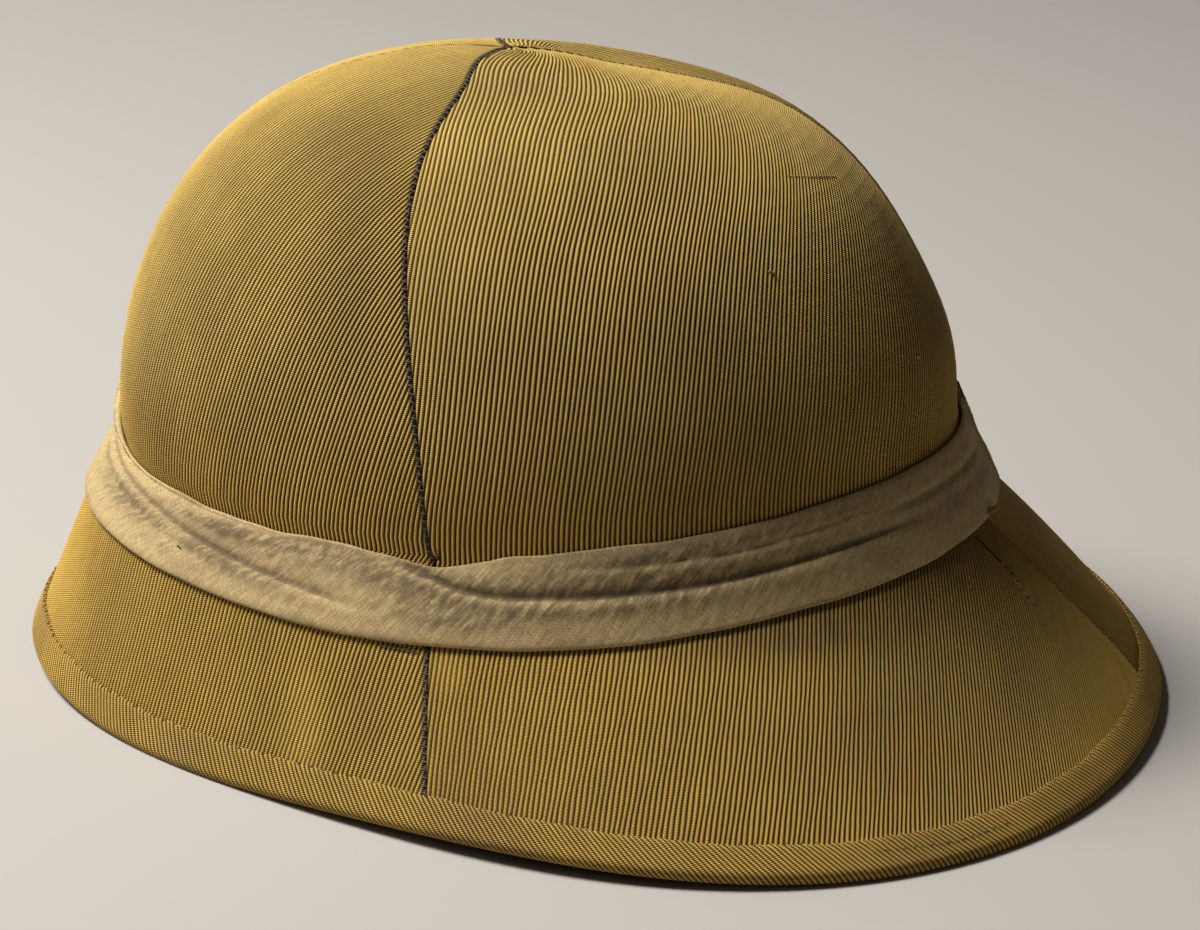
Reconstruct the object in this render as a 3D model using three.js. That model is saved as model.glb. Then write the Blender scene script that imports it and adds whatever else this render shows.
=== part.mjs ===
// Sun helmet: a moulded pith shell under four crown panels and four brim panels of ribbed cloth,
// with a folded cotton band (the puggaree) round the foot of the crown and a cloth binding
// folded over the edge of the brim.
// Millimetres. +Z is up, the front of the hat faces -Y and the wearer's left is +X.

import * as THREE from 'three';
import { mergeVertices } from 'three/addons/utils/BufferGeometryUtils.js';

// Outline of the hat at seven angles round the head, from the front (-90) past the wearer's
// left (0) to the back (90). The right half mirrors the left.
// head: radius of the crown at the top of the band; band_top: height there;
// drop: how far below it the band ends; brim: radius of the brim's edge; edge: its height.
const outline = [
  { angle: -90, head: 123.5, band_top: 61.5, drop: 15.0, brim: 147.0, edge: 3.0 },
  { angle: -60, head: 113.0, band_top: 61.0, drop: 16.0, brim: 139.5, edge: 0.5 },
  { angle: -30, head: 100.5, band_top: 61.5, drop: 18.5, brim: 129.0, edge: 0.0 },
  { angle: 0, head: 97.0, band_top: 64.5, drop: 20.5, brim: 138.5, edge: 2.5 },
  { angle: 30, head: 98.5, band_top: 70.0, drop: 21.0, brim: 162.5, edge: 0.5 },
  { angle: 60, head: 105.5, band_top: 75.5, drop: 20.0, brim: 171.5, edge: -0.5 },
  { angle: 90, head: 111.5, band_top: 78.0, drop: 19.5, brim: 169.5, edge: 1.0 },
];

// Crown
const crown_height = 175;
const crown_shift = -6.5; // the middle of the crown lies this far towards the front
const seam_shift = -15; // and the point where the seams meet lies this much further
const plan_roundness = 0.74;
const rise_roundness = 1.0;
const seam_reach = 60; // how closely the shift of the seams keeps to the very top
const foot_reach = 6; // how closely the cloth under the band keeps to the foot of the crown

// Flare from the crown to the brim, under the band
const band_rest = 1.5; // the crown cloth lies this far inside the top edge of the band
const flare = 10.5; // and the brim starts this much wider
const brim_hollow = -0.02; // the brim is very slightly hollow between its two edges

// Seams, in degrees forward of the wearer's side
const side_seam_crown = { base: 9.5, rise: 17 };
const side_seam_brim = { top: 8, edge: 3.5 };
const back_seam_lean = 6; // the back seam of the brim starts this far to the wearer's left
const back_seam_fade = 0.75; // and is straight from this share of the brim's width

// Layers
const cloth = 1.0;
const gap = 0.3;
const pith = 4.5;
const pith_at_edge = 2.0;
const cloth_at_edge = 0.8;
const thin_from = 0.8; // share of the brim's width where both reach their thickness at the edge
const seam_gap = 0.3;

// Binding
const binding_cloth = 0.8;
const binding_gap = 0.4;
const binding_width = 7.5;
const floor_height = 0;

// Folds of the band, from its top edge to its bottom edge: width is the share of the way
// down, proud is how far the cloth stands off the helmet.
const band_folds = [
  { width: 0.0, proud: 1.3 },
  { width: 0.06, proud: 2.4 },
  { width: 0.25, proud: 3.3 },
  { width: 0.42, proud: 2.6 },
  { width: 0.5, proud: 1.9 },
  { width: 0.58, proud: 2.8 },
  { width: 0.78, proud: 3.3 },
  { width: 0.94, proud: 2.4 },
  { width: 1.0, proud: 1.3 },
];

// Facets
const columns = 56;
const crown_rows = [89.6, 85, 80, 73, 65, 56, 47, 38, 29, 20, 10, 0];
const flare_rows = [0.25, 0.5, 0.75, 1];
const brim_rows = [0.2, 0.4, 0.6, 0.8, 1];
const panel_split = 0.5; // crown and brim panels meet half way down the band

const degrees = Math.PI / 180;
const quarter = columns / 4;

// Smooth closed curve through one column of the outline, mirrored from left to right.
function waves(column) {
  const last = outline.length - 1;
  const half = (index) => (index === 0 || index === last ? 0.5 : 1);
  return outline.map((unused, wave) => {
    let sum = 0;
    outline.forEach((section, index) => {
      sum += half(index) * section[column] * Math.cos((Math.PI * wave * index) / last);
    });
    return (half(wave) * 2 * sum) / last;
  });
}

const curves = {};
for (const column of ['head', 'band_top', 'drop', 'brim', 'edge']) {
  curves[column] = waves(column);
}

function around(column, angle) {
  let sum = 0;
  curves[column].forEach((size, wave) => {
    sum += size * Math.cos(wave * (angle + Math.PI / 2));
  });
  return sum;
}

// The middle of the hat's length is the origin.
const length_middle = (around('brim', Math.PI / 2) - around('brim', -Math.PI / 2)) / 2;

function place(radius, angle, height, shift = 0) {
  return new THREE.Vector3(
    radius * Math.cos(angle),
    radius * Math.sin(angle) + shift - length_middle,
    height,
  );
}

// A level down the hat is a number: 0 to 1 on the crown, 1 to 2 under the band, 2 to 3 on the brim.
const crown_level = (row) => 1 - row / 90;

// Where the columns lean so that the side seams and the back seam follow one of them.
function lean(turn, level) {
  const rise = Math.sin(90 * degrees * (1 - Math.min(level, 1)));
  const brim_share = Math.min(Math.max(level - 2, 0), 1);
  let side = side_seam_crown.base + side_seam_crown.rise * rise ** 2;
  if (level > 1) {
    const under = Math.min(level - 1, 1);
    side += (side_seam_brim.top - side_seam_crown.base) * under;
    side += (side_seam_brim.edge - side_seam_brim.top) * brim_share;
  }
  const brim_start = Math.min(Math.max(level - 1, 0), 1);
  const back = back_seam_lean * brim_start * Math.max(0, 1 - brim_share / back_seam_fade);
  const at_back = Math.max(0, Math.sin(turn)) ** 6;
  return turn - (side * Math.cos(turn) + back * at_back) * degrees;
}

// Slope of the brim below the horizontal
function brim_slope(angle) {
  const run = around('brim', angle) - around('head', angle) - flare;
  const fall = around('band_top', angle) - around('drop', angle) - around('edge', angle);
  return Math.atan2(fall, run);
}

// Half the thickness of the finished edge, binding included
const nose = binding_cloth + binding_gap + (cloth_at_edge + gap + pith_at_edge) / 2;

// Outer face of the cover
function face(angle, level) {
  const head = around('head', angle) - band_rest;
  const band_top = around('band_top', angle);
  const drop = around('drop', angle);
  if (level <= 1) {
    const tilt = 90 * degrees * (1 - level);
    const foot = head + band_rest * (1 - Math.cos(tilt) ** foot_reach);
    const radius = foot * Math.max(Math.cos(tilt), 0) ** plan_roundness;
    const height = band_top + (crown_height - band_top) * Math.sin(tilt) ** rise_roundness;
    const shift = crown_shift * Math.sin(tilt) ** 0.4 + seam_shift * Math.sin(tilt) ** seam_reach;
    return place(radius, angle, height, shift);
  }
  if (level <= 2) {
    const share = level - 1;
    return place(head + flare * share ** 1.6, angle, band_top - drop * share);
  }
  const share = level - 2;
  const slope = brim_slope(angle);
  const stand = nose - binding_cloth - binding_gap;
  const start = { radius: head + flare, height: band_top - drop };
  const end = {
    radius: around('brim', angle) - 0.3 * nose + stand * Math.sin(slope),
    height: around('edge', angle) + nose + stand * Math.cos(slope),
  };
  const out = share + brim_hollow * share * (1 - share);
  const radius = start.radius + (end.radius - start.radius) * out;
  return place(radius, angle, start.height + (end.height - start.height) * share);
}

// Outward direction of the cover
function outward(turn, level) {
  const step = 0.004;
  const low = Math.max(level - step, 0.003);
  const high = Math.min(level + step, 3);
  const down = face(lean(turn, high), high).sub(face(lean(turn, low), low));
  const along = face(lean(turn + step, level), level).sub(face(lean(turn - step, level), level));
  return down.cross(along).normalize();
}

// A point this deep below the cover's face
function below(turn, level, depth) {
  const point = face(lean(turn, level), level);
  return point.addScaledVector(outward(turn, level), -depth);
}

const turn_of = (column) => (2 * Math.PI * column) / columns;
const levels = [
  ...crown_rows.map(crown_level),
  ...flare_rows.map((share) => 1 + share),
  ...brim_rows.map((share) => 2 + share),
];

// Cloth and pith get thinner down the brim and keep one thickness under the binding.
const edge_share = (level) => Math.min(Math.max(level - 2, 0) / thin_from, 1);
const cloth_here = (level) => cloth + (cloth_at_edge - cloth) * edge_share(level);
const pith_here = (level) => pith + (pith_at_edge - pith) * edge_share(level);

// Builds one closed body from corner points and faces with three or four corners.
class Body {
  constructor() {
    this.points = [];
    this.triangles = [];
  }

  row(points) {
    const first = this.points.length;
    this.points.push(...points);
    return points.map((unused, index) => first + index);
  }

  // A reversed quad keeps its diagonal, so that layers lie evenly on one another.
  quad(a, b, c, d, reverse) {
    this.triangles.push(reverse ? [a, c, b] : [a, b, c], reverse ? [a, d, c] : [a, c, d]);
  }

  // Joins two rows of the same length; closed rows also join their last point to their first.
  band(upper, lower, closed, reverse = false) {
    const count = closed ? upper.length : upper.length - 1;
    for (let index = 0; index < count; index += 1) {
      const next = (index + 1) % upper.length;
      this.quad(upper[index], lower[index], lower[next], upper[next], reverse);
    }
  }

  cap(centre, ring, reverse) {
    ring.forEach((corner, index) => {
      const next = ring[(index + 1) % ring.length];
      this.triangles.push(reverse ? [centre, next, corner] : [centre, corner, next]);
    });
  }

  mesh(name, color, roughness) {
    const corners = this.triangles.flat().flatMap((index) => this.points[index].toArray());
    let geometry = new THREE.BufferGeometry();
    geometry.setAttribute('position', new THREE.Float32BufferAttribute(corners, 3));
    geometry = mergeVertices(geometry, 1e-4);
    geometry.computeVertexNormals();
    const material = new THREE.MeshStandardMaterial({ color, roughness, metalness: 0 });
    const mesh = new THREE.Mesh(geometry, material);
    mesh.name = name;
    return mesh;
  }
}

function shell() {
  const body = new Body();
  const ring = (level, depth) =>
    Array.from({ length: columns }, (unused, column) => below(turn_of(column), level, depth));
  const outside = levels.map((level) => body.row(ring(level, cloth_here(level) + gap)));
  const inner_levels = levels.filter((unused, index) => index % 2 === 0 || index >= levels.length - 2);
  const inside = inner_levels.map((level) =>
    body.row(ring(level, cloth_here(level) + gap + pith_here(level))),
  );
  const top = place(0, 0, crown_height - cloth - gap, crown_shift + seam_shift);
  const top_inside = top.clone().setZ(top.z - pith);
  body.cap(body.row([top])[0], outside[0], false);
  body.cap(body.row([top_inside])[0], inside[0], true);
  for (let index = 1; index < outside.length; index += 1) {
    body.band(outside[index - 1], outside[index], true);
  }
  for (let index = 1; index < inside.length; index += 1) {
    body.band(inside[index - 1], inside[index], true, true);
  }
  body.band(outside.at(-1), inside.at(-1), true);
  return body.mesh('shell', 0x9a8a66, 0.9);
}

// One cloth panel between two seams, over some of the levels
function panel(name, first_column, rows) {
  const body = new Body();
  const grid = (depth_of) =>
    rows.map((level) => {
      const points = [];
      for (let step = 0; step <= quarter; step += 1) {
        let turn = turn_of(first_column + step);
        const corner = face(lean(turn, level), level);
        const reach = Math.hypot(corner.x, corner.y - face_middle(level));
        const trim = seam_gap / 2 / Math.max(reach, seam_gap);
        if (step === 0) turn += trim;
        if (step === quarter) turn -= trim;
        points.push(below(turn, level, depth_of(level)));
      }
      return body.row(points);
    });
  const outside = grid(() => 0);
  const inside = grid((level) => cloth_here(level));
  for (let index = 1; index < rows.length; index += 1) {
    body.band(outside[index - 1], outside[index], false);
    body.band(inside[index - 1], inside[index], false, true);
    body.quad(outside[index - 1][0], inside[index - 1][0], inside[index][0], outside[index][0]);
    body.quad(
      outside[index][quarter],
      inside[index][quarter],
      inside[index - 1][quarter],
      outside[index - 1][quarter],
    );
  }
  body.band(inside[0], outside[0], false);
  body.band(outside.at(-1), inside.at(-1), false);
  return body.mesh(name, 0x8f6f2c, 0.85);
}

// The middle of a ring of the crown, front to back
function face_middle(level) {
  return (face(Math.PI / 2, level).y + face(-Math.PI / 2, level).y) / 2;
}

function puggaree() {
  const body = new Body();
  const ring = (level, height) =>
    Array.from({ length: columns }, (unused, column) => below(turn_of(column), level, -height));
  const outside = band_folds.map((fold) => body.row(ring(1 + fold.width, gap + fold.proud)));
  const inside = band_folds
    .filter((unused, index) => index % 2 === 0)
    .map((fold) => body.row(ring(1 + fold.width, gap)));
  for (let index = 1; index < outside.length; index += 1) {
    body.band(outside[index - 1], outside[index], true);
  }
  for (let index = 1; index < inside.length; index += 1) {
    body.band(inside[index - 1], inside[index], true, true);
  }
  body.band(inside[0], outside[0], true);
  body.band(outside.at(-1), inside.at(-1), true);
  return body.mesh('puggaree', 0xb3a67e, 0.9);
}

// The binding's section is a hairpin: up the outside, round the edge and back on the underside.
function binding_section(turn) {
  const outer_face = below(turn, 3, 0);
  const out = outward(turn, 3);
  const top_face = below(turn, 3 - 0.02, 0);
  const inward = top_face.sub(outer_face).normalize();
  const centre = outer_face.clone().addScaledVector(out, -(nose - binding_cloth - binding_gap));
  const at = (along, off) =>
    centre.clone().addScaledVector(inward, along).addScaledVector(out, off);
  const points = [at(binding_width, nose)];
  for (let bend = 90; bend >= -90; bend -= 30) {
    points.push(at(-nose * Math.cos(bend * degrees), nose * Math.sin(bend * degrees)));
  }
  points.push(at(binding_width, -nose));
  const hollow = nose - binding_cloth;
  points.push(at(binding_width, -hollow));
  for (let bend = -90; bend <= 90; bend += 90) {
    points.push(at(-hollow * Math.cos(bend * degrees), hollow * Math.sin(bend * degrees)));
  }
  points.push(at(binding_width, hollow));
  return points.map((point) => point.setZ(Math.max(point.z, floor_height)));
}

function edge_binding() {
  const body = new Body();
  const sections = Array.from({ length: columns }, (unused, column) =>
    body.row(binding_section(turn_of(column))),
  );
  sections.forEach((section, index) => {
    body.band(sections[(index + 1) % columns], section, true);
  });
  return body.mesh('edge_binding', 0x8f6f2c, 0.85);
}

const crown_part = levels.filter((level) => level <= 1 + panel_split - 0.1);
const crown_levels = [...crown_part, 1 + panel_split - 0.01];
const brim_levels = [1 + panel_split + 0.01, ...levels.filter((level) => level > 1 + panel_split)];
const panel_names = ['back_left', 'back_right', 'front_right', 'front_left'];

const helmet = new THREE.Group();
helmet.add(shell());
panel_names.forEach((name, index) => {
  helmet.add(panel(`crown_panel_${name}`, index * quarter, crown_levels));
  helmet.add(panel(`brim_panel_${name}`, index * quarter, brim_levels));
});
helmet.add(puggaree());
helmet.add(edge_binding());

export default helmet;
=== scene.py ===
import math

import bpy
import numpy as np
from mathutils import Matrix, Vector


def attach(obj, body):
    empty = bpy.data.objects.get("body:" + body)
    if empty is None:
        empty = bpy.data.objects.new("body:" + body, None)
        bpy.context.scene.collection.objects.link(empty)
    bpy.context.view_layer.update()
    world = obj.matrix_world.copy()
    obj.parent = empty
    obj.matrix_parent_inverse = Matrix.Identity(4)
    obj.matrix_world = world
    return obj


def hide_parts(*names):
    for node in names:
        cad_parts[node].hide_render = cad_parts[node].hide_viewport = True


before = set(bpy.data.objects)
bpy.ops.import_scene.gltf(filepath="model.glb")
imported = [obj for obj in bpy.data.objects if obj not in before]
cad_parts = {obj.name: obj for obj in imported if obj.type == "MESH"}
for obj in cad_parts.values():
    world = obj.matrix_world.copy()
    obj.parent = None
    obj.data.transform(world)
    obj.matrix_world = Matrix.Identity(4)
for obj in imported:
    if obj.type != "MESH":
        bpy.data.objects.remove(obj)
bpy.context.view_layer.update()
scene = bpy.context.scene

# Camera. It looks down a little at the wearer's left side of the hat from 1.3 m away, with a
# long lens and a slight roll, as the photograph was taken.
hat_middle = Vector((0.0, -0.01125, 0.0813))
camera_distance = 1.3
camera_azimuth = math.radians(10.0)
camera_height_angle = math.radians(18.95)
camera_pan = math.radians(-0.52)
camera_tilt = math.radians(1.0)
camera_roll = math.radians(1.69)
focal_length_mm = 140.5


def direction(azimuth, height_angle):
    level = math.cos(height_angle)
    return Vector((math.cos(azimuth) * level, math.sin(azimuth) * level, math.sin(height_angle)))


aim_azimuth = camera_azimuth + camera_pan
aim_height_angle = camera_height_angle + camera_tilt
behind = direction(aim_azimuth, aim_height_angle)
right = Vector((-math.sin(aim_azimuth), math.cos(aim_azimuth), 0.0))
above = behind.cross(right)
rolled_right = right * math.cos(camera_roll) + above * math.sin(camera_roll)
rolled_above = above * math.cos(camera_roll) - right * math.sin(camera_roll)
camera_place = hat_middle + direction(camera_azimuth, camera_height_angle) * camera_distance

lens = bpy.data.cameras.new("camera")
lens.lens = focal_length_mm
lens.sensor_width = 36.0
lens.clip_start = 0.05
camera = bpy.data.objects.new("camera", lens)
scene.collection.objects.link(camera)
turned = Matrix((rolled_right, rolled_above, behind)).transposed().to_4x4()
camera.matrix_world = Matrix.Translation(camera_place) @ turned
scene.camera = camera


# Floor and light. A matt floor, one wide soft lamp high over the front left of the hat, a weaker
# one low in front of it, and a little warm light from all round. The back of the hat is in shade.
def surface(name, colour, roughness):
    material = bpy.data.materials.new(name)
    material.use_nodes = True
    shader = material.node_tree.nodes["Principled BSDF"]
    shader.inputs["Base Color"].default_value = (*colour, 1.0)
    shader.inputs["Roughness"].default_value = roughness
    return material


def mesh_object(name, points, faces):
    mesh = bpy.data.meshes.new(name)
    points = np.asarray(points, float)
    faces = np.asarray(faces, np.int32)
    corners = faces.shape[1]
    mesh.vertices.add(len(points))
    mesh.vertices.foreach_set("co", points.ravel())
    mesh.loops.add(faces.size)
    mesh.loops.foreach_set("vertex_index", faces.ravel())
    mesh.polygons.add(len(faces))
    mesh.polygons.foreach_set("loop_start", np.arange(0, faces.size, corners, dtype=np.int32))
    mesh.update(calc_edges=True)
    mesh.polygons.foreach_set("use_smooth", np.full(len(faces), True))
    thing = bpy.data.objects.new(name, mesh)
    scene.collection.objects.link(thing)
    return thing


floor_side = 3.2
floor_colour = (0.40, 0.37, 0.33)
corners_of_floor = [(-1, -1), (1, -1), (1, 1), (-1, 1)]
floor = mesh_object(
    "floor",
    [(x * floor_side / 2, y * floor_side / 2, 0.0) for x, y in corners_of_floor],
    [(0, 1, 2, 3)],
)
floor.data.materials.append(surface("pale floor", floor_colour, 0.9))


def soft_lamp(name, azimuth, height_angle, distance, side, power):
    light = bpy.data.lights.new(name, "AREA")
    light.size = side
    light.energy = power
    lamp = bpy.data.objects.new(name, light)
    scene.collection.objects.link(lamp)
    aim = direction(math.radians(azimuth), math.radians(height_angle))
    lamp.location = hat_middle + aim * distance
    lamp.rotation_euler = aim.to_track_quat("Z", "Y").to_euler()


soft_lamp("key lamp", azimuth=-84, height_angle=58, distance=1.6, side=0.6, power=48)
soft_lamp("front lamp", azimuth=-98, height_angle=10, distance=1.8, side=1.0, power=9)
surrounding_colour = (1.0, 0.94, 0.84)
surrounding_strength = 0.060
world = bpy.data.worlds.new("studio")
world.use_nodes = True
background = world.node_tree.nodes["Background"]
background.inputs["Color"].default_value = (*surrounding_colour, 1.0)
background.inputs["Strength"].default_value = surrounding_strength
scene.world = world
scene.view_settings.view_transform = "Standard"

# Shell. A light body of pressed pith, moulded over a block: a domed crown, a flare under the
# hatband and a long sloping brim that gets thinner towards its edge. It shows only from below.
outline = np.array(
    [
        # angle, crown radius, band top, band drop, brim radius, edge height. The angle is only a
        # label: the rows lie 30 degrees apart, from the front round to the back
        (-90, 0.1235, 0.0615, 0.0150, 0.1470, 0.0030),
        (-60, 0.1130, 0.0610, 0.0160, 0.1395, 0.0005),
        (-30, 0.1005, 0.0615, 0.0185, 0.1290, 0.0000),
        (0, 0.0970, 0.0645, 0.0205, 0.1385, 0.0025),
        (30, 0.0985, 0.0700, 0.0210, 0.1625, 0.0005),
        (60, 0.1055, 0.0755, 0.0200, 0.1715, -0.0005),
        (90, 0.1115, 0.0780, 0.0195, 0.1695, 0.0010),
    ]
)
head_column, band_top_column, drop_column, brim_column, edge_column = 1, 2, 3, 4, 5
crown_height = 0.175
crown_shift = -0.0065
crown_shift_reach = 0.4
seam_shift = -0.0115
seam_shift_across = -0.0040
seam_shift_reach = 60
plan_roundness = 0.74
foot_reach = 6
flare_roundness = 1.6
brim_hollow = 0.02
# The dents and swells of this one hat: how much, where the middle is and how far it reaches,
# as a tilt in radians up the crown or as an angle in degrees round it
back_flattened = (0.0024, 1.36, 0.22)
back_fullness = (0.0030, 0.22, 0.22)
right_side_lower = (0.0024, 1.3, 0.3)
right_side_drawn_in = ((0.0025, 113, 17), (0.0042, 248, 17))
rear_brim_swell = (0.0024, 108, 16)
apex_reach = 0.12
# How many degrees the seams lean. A side seam leans more up the crown, and less under the band
# and on the brim. The back seam leans one way on the crown and the other way on the brim
side_seam_lean = {"foot": 9.5, "rise": 17, "under the band": 1.5, "brim": 4.5}
back_seam_lean = {"top": 14, "brim": 6}
back_seam_straight_from = 0.75
band_rest = 0.0015
flare = 0.0105
edge_stand = 0.00155
edge_radius = 0.00275
shell_thickness = 0.0045
shell_at_edge = 0.0020
cloth = 0.0013
cloth_thins = 0.0002
thin_from = 0.8
shell_columns = 144


def around(column, angle):
    """One column of the outline at any angle, as a smooth curve through its rows."""
    last = len(outline) - 1
    stations = np.arange(last + 1)
    half = np.where((stations == 0) | (stations == last), 0.5, 1.0)
    total = 0.0
    for wave in range(last + 1):
        size = np.sum(half * outline[:, column] * np.cos(math.pi * wave * stations / last))
        size *= half[wave] * 2 / last
        total = total + size * np.cos(wave * (angle + math.pi / 2))
    return total


length_middle = (around(brim_column, math.pi / 2) - around(brim_column, -math.pi / 2)) / 2


def lean(turn, level):
    """The angle of a point, from its turn round the hat. The seams lie at turns 0, 90, 180, 270."""
    rise = np.sin(math.pi / 2 * (1 - np.minimum(level, 1)))
    under = np.clip(level - 1, 0, 1)
    brim_share = np.clip(level - 2, 0, 1)
    side = side_seam_lean["foot"] + side_seam_lean["rise"] * rise**2
    side = side - side_seam_lean["under the band"] * under - side_seam_lean["brim"] * brim_share
    back = back_seam_lean["brim"] * under * np.maximum(0, 1 - brim_share / back_seam_straight_from)
    at_back = np.maximum(0, np.sin(turn)) ** 6
    back = (back - back_seam_lean["top"] * rise**1.5) * at_back
    return turn - np.radians(side * np.cos(turn) + back)


def near(value, middle, reach):
    return np.exp(-(((value - middle) / reach) ** 2))


def degrees_apart(turn, middle):
    return (np.degrees(turn) - middle + 180) % 360 - 180


def face(turn, level):
    """A point on the outer face: levels 0 to 1 are the crown, 1 to 2 the flare, 2 to 3 the brim."""
    turn, level = np.broadcast_arrays(np.asarray(turn, float), np.asarray(level, float))
    angle = lean(turn, level)
    head = around(head_column, angle) - band_rest
    band_top = around(band_top_column, angle)
    drop = around(drop_column, angle)
    edge = around(edge_column, angle)
    brim = around(brim_column, angle)
    for amount, middle, reach in right_side_drawn_in:
        brim = brim - amount * near(degrees_apart(angle, middle), 0, reach)
    tilt = math.pi / 2 * (1 - np.minimum(level, 1))
    foot = head + band_rest * (1 - np.cos(tilt) ** foot_reach)
    crown_radius = foot * np.maximum(np.cos(tilt), 0) ** plan_roundness
    crown_rise = band_top + (crown_height - band_top) * np.sin(tilt)
    at_apex = np.sin(tilt) ** seam_shift_reach
    shift = crown_shift * np.sin(tilt) ** crown_shift_reach + seam_shift * at_apex
    behind_middle = np.maximum(0, np.sin(angle)) ** 2
    off_the_top = np.clip(np.cos(tilt) / apex_reach, 0, 1)
    amount, middle, reach = back_flattened
    flattened = amount * behind_middle * near(tilt, middle, reach)
    amount, middle, reach = right_side_lower
    lowered = amount * np.maximum(0, -np.cos(angle)) * near(tilt, middle, reach)
    crown_rise = crown_rise - (flattened + lowered) * off_the_top
    amount, middle, reach = back_fullness
    fullness = amount * behind_middle * near(tilt, middle, reach)
    crown_radius = crown_radius + fullness
    under = np.clip(level - 1, 0, 1)
    flare_radius = head + flare * under**flare_roundness + fullness * (1 - under) ** 2
    flare_rise = band_top - drop * under
    share = np.maximum(level - 2, 0)
    slope = np.arctan2(band_top - drop - edge, brim - head - flare)
    end_radius = brim - 0.3 * edge_radius + edge_stand * np.sin(slope)
    end_rise = edge + edge_radius + edge_stand * np.cos(slope)
    out = share - brim_hollow * share * (1 - share)
    brim_radius = head + flare + (end_radius - head - flare) * out
    amount, middle, reach = rear_brim_swell
    swell = amount * 4 * share * np.maximum(1 - share, 0) * near(degrees_apart(angle, middle), 0, reach)
    brim_rise = band_top - drop + (end_rise - band_top + drop) * share + swell
    radius = np.where(level <= 1, crown_radius, np.where(level <= 2, flare_radius, brim_radius))
    height = np.where(level <= 1, crown_rise, np.where(level <= 2, flare_rise, brim_rise))
    shift = np.where(level <= 1, shift, 0.0)
    x = radius * np.cos(angle) + np.where(level <= 1, seam_shift_across * at_apex, 0.0)
    y = radius * np.sin(angle) + shift - length_middle
    return np.stack([x, y, height], axis=-1)


def outward(turn, level):
    """The direction straight out of the face, from steps that stay within the apex and the edge."""
    step = 0.004
    closest_to_apex = 0.003
    low = np.maximum(level - step, closest_to_apex)
    high = np.minimum(level + step, 3)
    down = face(turn, high) - face(turn, low)
    along = face(turn + step, level) - face(turn - step, level)
    normal = np.cross(down, along)
    return normal / np.linalg.norm(normal, axis=-1, keepdims=True)


def grid_faces(rows, columns, closed=False):
    upper = np.arange(rows - 1)[:, None] * columns
    left = np.arange(columns if closed else columns - 1)[None, :]
    next_left = (left + 1) % columns
    faces = [upper + left, upper + columns + left, upper + columns + next_left, upper + next_left]
    return np.stack(faces, axis=-1).reshape(-1, 4)


def shell_face(levels, wall, wall_at_edge):
    """One face of the shell, the thickness of a wall inwards from the underside of the cloth."""
    turns = np.linspace(0, 2 * math.pi, shell_columns, endpoint=False)[None, :]
    levels = levels[:, None]
    share = np.clip((levels - 2) / thin_from, 0, 1)[..., None]
    inwards = cloth - cloth_thins * share + wall + (wall_at_edge - wall) * share
    return (face(turns, levels) - outward(turns, levels) * inwards).reshape(-1, 3)


# The first ring leaves a hole of about a centimetre through the shell at the apex, under the cover
crown_levels = np.linspace(0.01, 1, 30)
flare_levels = np.linspace(1.1, 2, 10)
brim_levels = np.linspace(2.05, 3, 20)
shell_levels = np.concatenate([crown_levels, flare_levels, brim_levels])
outer = shell_face(shell_levels, 0, 0)
inner = shell_face(shell_levels[::-1], shell_thickness, shell_at_edge)
shell_faces = grid_faces(2 * len(shell_levels), shell_columns, closed=True)
shell = mesh_object("pith_shell", np.concatenate([outer, inner]), shell_faces)
pith_colour = (0.42, 0.35, 0.22)
shell.data.materials.append(surface("pith", pith_colour, 0.9))
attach(shell, "root")
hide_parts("shell")

# Cover. Four gores of khaki whipcord over the crown and four over the brim, each turned in at
# its edges and sewn to the next. The ribs of a rear panel run along its side seam and those of a
# front panel along the seam at the front. Years of sun and hands have dirtied it. Its colour also
# holds painted shade in the grooves between the ribs, in the gap at a seam, on the brim under the
# band and on the back of the hat, and a few patches of painted light on the brim.
rib_pitch = 0.00136
rib_samples = 5
rib_height = 0.00056
rib_roundness = 0.8
# Each sway: its size as a share of a rib, and how fast it turns down the rib and from rib to rib
rib_sways = ((0.07, 23, 0.9), (0.05, 11, 0.37))
sway_fades_over = 0.004
seam_margin = 0.0002
turned_edge = 0.0006
rolled_edge = 0.0013
side_seam_roll = 0.75
back_seam_roll = 0.14
crown_rows = 50
brim_rows = 30
soiling_and_painted_light = np.array(
    [
        # turn, level, reach in turn, reach in level, strength; a negative one is a patch of painted light
        (-12, 0.55, 9, 0.30, 0.45),
        (-30, 0.35, 16, 0.14, 0.45),
        (-60, 0.80, 14, 0.16, 0.30),
        (7, 0.66, 7, 0.20, 0.30),
        (4, 0.16, 22, 0.07, 0.30),
        (30, 0.12, 18, 0.05, 0.35),
        (52, 0.40, 12, 0.10, 0.30),
        # grime, made darker as painted shade on the back of the crown
        (84, 0.62, 12, 0.30, 0.75),
        (62, 0.28, 22, 0.10, 0.25),
        (100, 0.45, 18, 0.25, 0.45),
        (-9, 2.50, 5, 0.35, 0.40),
        # painted light: a warm lit patch on the front brim
        (-17, 2.62, 6, 0.55, -0.50),
        (-46, 2.35, 12, 0.20, 0.25),
        # painted light on the front brim
        (-72, 2.45, 14, 0.50, -0.40),
        (50, 2.60, 13, 0.35, 0.45),
        # painted light: a bright strip by the side seam on the brim
        (3, 2.15, 4, 0.20, -0.50),
        # painted shade on the brim under the band
        (40, 2.06, 16, 0.10, 0.60),
        (64, 2.10, 16, 0.12, 0.85),
        (34, 2.45, 9, 0.20, 0.25),
        # grime, made darker as painted shade on the back of the brim
        (74, 2.45, 20, 0.50, 0.60),
        (150, 0.50, 20, 0.25, 0.40),
        (215, 0.40, 18, 0.25, 0.45),
        (195, 2.40, 10, 0.30, 0.40),
        (240, 2.50, 14, 0.30, 0.40),
    ]
)


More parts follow.
